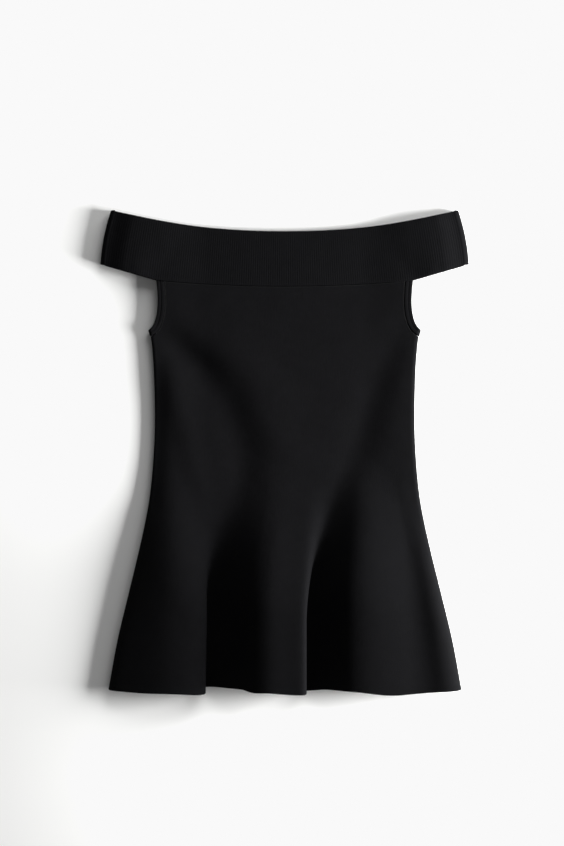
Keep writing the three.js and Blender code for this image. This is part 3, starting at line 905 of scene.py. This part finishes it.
# %% Values for yarn and stitch
# Lengths are in metres here.
FIBRE_IOR = 1.53
KNIT_ROUGHNESS = 0.88
BLACK_DEEP, BLACK_WORN = "#060607", "#101012"
SHEEN_WEIGHT = 0.03
SHEEN_ROUGHNESS = 0.45
SHEEN_COLOUR = "#34343a"
SPECULAR_LEVEL = 0.05
WALE_WIDTH = 0.00093
COURSE_HEIGHT = 0.0009
STITCH_DEPTH = 0.00016
PATCH_SIZE = 0.016
YARN_ACROSS, YARN_ALONG = 0.0014, 0.006
YARN_DETAIL, PATCH_DETAIL = 3.0, 4.0
NOISE_ROUGHNESS = 0.6
# The loops and the yarn raise the cloth by these shares of what the columns raise it.
LOOP_HEIGHT, YARN_HEIGHT = 0.3, 1.4
# The colour goes from deep to worn black by so much of the patches and so much of the yarn.
PATCH_COLOUR, YARN_COLOUR = 0.45, 0.55
# Sockets of Blender's node that mixes colours: its two colours, and the mixed one.
MIX_FIRST, MIX_SECOND, MIX_RESULT = 6, 7, 2
print("a column of stitches is", WALE_WIDTH / MM, "mm wide")

# %% How a knit is drawn
def knit_material(name, wale_width, course_height, depth):
    """Plain knit stitches drawn on the cloth's own measure, with uneven yarn and a fibre bloom."""
    knit = new_material(name)

    def math_node(operation, a, b=None, value=0.0):
        node = add_node(knit, "ShaderNodeMath", {1: value}, {0: a}, operation=operation)
        if b is not None:
            knit.node_tree.links.new(b, node.inputs[1])
        return node.outputs[0]

    cloth = add_node(knit, "ShaderNodeUVMap", uv_map="cloth")
    parts = add_node(knit, "ShaderNodeSeparateXYZ", links={0: cloth.outputs[0]})
    wale = math_node("DIVIDE", parts.outputs[0], value=wale_width)
    leg = math_node("PINGPONG", wale, value=0.5)
    course = math_node("DIVIDE", parts.outputs[1], value=course_height)
    loop = math_node("SINE", math_node("MULTIPLY", math_node("ADD", course, leg), value=2 * math.pi))
    ridge = math_node("ABSOLUTE", math_node("SINE", math_node("MULTIPLY", wale, value=math.pi)))
    stitch = math_node("ADD", ridge, math_node("MULTIPLY", loop, value=LOOP_HEIGHT))
    long_grain = add_node(knit, "ShaderNodeMapping", {"Scale": (1 / YARN_ACROSS, 1 / YARN_ALONG, 1)},
                          {"Vector": cloth.outputs[0]})
    yarn = add_node(knit, "ShaderNodeTexNoise", {
        "Scale": 1.0, "Detail": YARN_DETAIL, "Roughness": NOISE_ROUGHNESS,
    }, {"Vector": long_grain.outputs[0]})
    rough = math_node("ADD", stitch, math_node("MULTIPLY", yarn.outputs[0], value=YARN_HEIGHT))
    bump = add_node(knit, "ShaderNodeBump", {"Strength": 1.0, "Distance": depth}, {"Height": rough})
    place = add_node(knit, "ShaderNodeTexCoord")
    patch = add_node(knit, "ShaderNodeTexNoise", {
        "Scale": 1 / PATCH_SIZE, "Detail": PATCH_DETAIL, "Roughness": NOISE_ROUGHNESS,
    }, {"Vector": place.outputs["Object"]})
    shade = math_node("ADD", math_node("MULTIPLY", patch.outputs[0], value=PATCH_COLOUR),
                      math_node("MULTIPLY", yarn.outputs[0], value=YARN_COLOUR))
    colour = add_node(knit, "ShaderNodeMix", links={0: shade}, data_type="RGBA")
    colour.inputs[MIX_FIRST].default_value = linear(BLACK_DEEP)
    colour.inputs[MIX_SECOND].default_value = linear(BLACK_WORN)
    surface = add_node(knit, "ShaderNodeBsdfPrincipled", {
        "Roughness": KNIT_ROUGHNESS,
        "IOR": FIBRE_IOR,
        "Specular IOR Level": SPECULAR_LEVEL,
        "Sheen Weight": SHEEN_WEIGHT,
        "Sheen Roughness": SHEEN_ROUGHNESS,
        "Sheen Tint": linear(SHEEN_COLOUR),
    }, {"Base Color": colour.outputs[MIX_RESULT], "Normal": bump.outputs[0]})
    add_node(knit, "ShaderNodeOutputMaterial", links={"Surface": surface.outputs[0]})
    return knit


compact_knit = knit_material("compact_viscose_knit", WALE_WIDTH, COURSE_HEIGHT, STITCH_DEPTH)
print("knit", compact_knit.name)

# %% The band's knit
# Three columns of stitches fill a rib, and they lie flatter, because the ribs are there already.
WALES_PER_RIB = 3
RIB_STITCH_DEPTH = STITCH_DEPTH / 2
rib_wale = RIB_SPACING * MM / WALES_PER_RIB
rib_knit = knit_material("doubled_rib_knit", rib_wale, COURSE_HEIGHT, RIB_STITCH_DEPTH)
print("knit", rib_knit.name)

# %% A material with a fine grain, and the thread
FINE_DETAIL = 2.0
GRAIN_DEPTH = 0.0001
THREAD_TWIST = 0.0005
THREAD_BUMP = 0.6
THREAD_ROUGHNESS = 0.6
THREAD_SPECULAR = 0.2


def grained_material(name, hex_colour, grains, bump, roughness, specular):
    """One colour with a fine grain: so many grains to a metre, raised by the bump's strength."""
    material = new_material(name)
    grain = add_node(material, "ShaderNodeTexNoise", {"Scale": grains, "Detail": FINE_DETAIL})
    raised = add_node(material, "ShaderNodeBump", {"Strength": bump, "Distance": GRAIN_DEPTH},
                      {"Height": grain.outputs[0]})
    surface = add_node(material, "ShaderNodeBsdfPrincipled", {
        "Base Color": linear(hex_colour), "Roughness": roughness, "Specular IOR Level": specular,
    }, {"Normal": raised.outputs[0]})
    add_node(material, "ShaderNodeOutputMaterial", links={"Surface": surface.outputs[0]})
    return material


thread = grained_material("spun_polyester_thread", BLACK_DEEP, 1 / THREAD_TWIST, THREAD_BUMP,
                          THREAD_ROUGHNESS, THREAD_SPECULAR)
print("thread", thread.name)

# %% [markdown]
# ## The table and the light
#
# The top lies on a white table under a big soft window of light at the right. It stands low, so each
# flute throws its shadow to the left, and it is large, so the shadows have wide soft edges. A second,
# weaker window beyond the neckline and a pale room fill them a little. Last comes the picture's tone
# curve: it leaves the black cloth as it is and lifts the table to an even paper white.

# %% The table
TABLE_SIZE = 8.0
# The table lies this far below the cloth, so that the two faces don't fight for the same place.
TABLE_DROP = 0.0002
TABLE_WHITE = "#f2f2f1"
PAINT_GRAINS = 900.0
PAINT_BUMP = 0.1
PAINT_ROUGHNESS = 0.9
PAINT_SPECULAR = 0.1

table_mesh = bpy.data.meshes.new("table")
reach = TABLE_SIZE / 2
corners = [(-reach, -reach, 0), (reach, -reach, 0), (reach, reach, 0), (-reach, reach, 0)]
table_mesh.from_pydata(corners, [], [(0, 1, 2, 3)])
table_top = bpy.data.objects.new("table", table_mesh)
table_top.location.z = -TABLE_DROP
scene.collection.objects.link(table_top)
paint = grained_material("matt_white_paint", TABLE_WHITE, PAINT_GRAINS, PAINT_BUMP,
                         PAINT_ROUGHNESS, PAINT_SPECULAR)
table_mesh.materials.append(paint)
print("the table is", TABLE_SIZE, "m wide")

# %% Two windows and a pale room
KEY_POWER = 84.0
KEY_AZIMUTH = -4.0
KEY_ELEVATION = 14.6
KEY_DISTANCE = 1.4
KEY_SIZE = 0.64
FILL_POWER = 21.0
FILL_AZIMUTH = 66.0
FILL_ELEVATION = 22.0
FILL_DISTANCE = 1.7
FILL_SIZE = 1.3
ROOM_STRENGTH = 0.125
ROOM_COLOUR = "#ffffff"


def soft_box(name, power, azimuth, elevation, distance, size):
    """A square light that looks at the middle of the table."""
    light = bpy.data.lights.new(name, "AREA")
    light.size = size
    light.energy = power
    lamp = bpy.data.objects.new(name, light)
    turn, rise = math.radians(azimuth), math.radians(elevation)
    away = (math.cos(rise) * math.cos(turn), math.cos(rise) * math.sin(turn), math.sin(rise))
    lamp.location = [distance * part for part in away]
    lamp.rotation_mode = "QUATERNION"
    lamp.rotation_quaternion = lamp.location.to_track_quat("Z", "Y")
    scene.collection.objects.link(lamp)
    print(name, "at", tuple(round(v, 2) for v in lamp.location))


soft_box("window", KEY_POWER, KEY_AZIMUTH, KEY_ELEVATION, KEY_DISTANCE, KEY_SIZE)
soft_box("far_window", FILL_POWER, FILL_AZIMUTH, FILL_ELEVATION, FILL_DISTANCE, FILL_SIZE)

room = bpy.data.worlds.new("room")
room.use_nodes = True
room.node_tree.nodes["Background"].inputs[0].default_value = linear(ROOM_COLOUR)
room.node_tree.nodes["Background"].inputs[1].default_value = ROOM_STRENGTH
scene.world = room
print("the room's light has strength", ROOM_STRENGTH)

# %% The picture's tone curve
# Blender's fourth curve works on red, green and blue together.
COMBINED_CURVE = 3
PAPER_WHITE = [(0.3, 0.3), (0.72, 0.947), (1.0, 0.947)]

scene.view_settings.view_transform = "Standard"
scene.view_settings.look = "None"
scene.view_settings.use_curve_mapping = True
curve = scene.view_settings.curve_mapping.curves[COMBINED_CURVE]
for place, value in PAPER_WHITE[:-1]:
    curve.points.new(place, value)
curve.points[-1].location = PAPER_WHITE[-1]
for point in curve.points:
    point.handle_type = "VECTOR"
scene.view_settings.curve_mapping.extend = "HORIZONTAL"
scene.view_settings.curve_mapping.update()
print("picture curve", [tuple(round(v, 3) for v in point.location) for point in curve.points])

# %% [markdown]
# ## Placing the pieces in the frame
#
# Every knitted piece now takes its finish and stands for its plain solid, which is hidden. The
# cloth is laid, not stretched.

# %% Finishes and solids
knit_pieces = [
    (front_panel, "front_panel", "compact_knit", compact_knit),
    (back_panel, "back_panel", "compact_knit", compact_knit),
    (band, "shoulder_band", "rib_knit", rib_knit),
    (bindings[0][0], "armhole_binding_left", "binding_knit", compact_knit),
    (bindings[1][0], "armhole_binding_right", "binding_knit", compact_knit),
]
for piece, node, slot, material in knit_pieces:
    piece.data.materials.append(material)
    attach(piece, "root")
    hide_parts(node)
for chain in chains:
    chain.data.materials.append(thread)
    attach(chain, "root")
print(len(knit_pieces), "pieces stand for solids, and", len(chains), "chains ride with them")
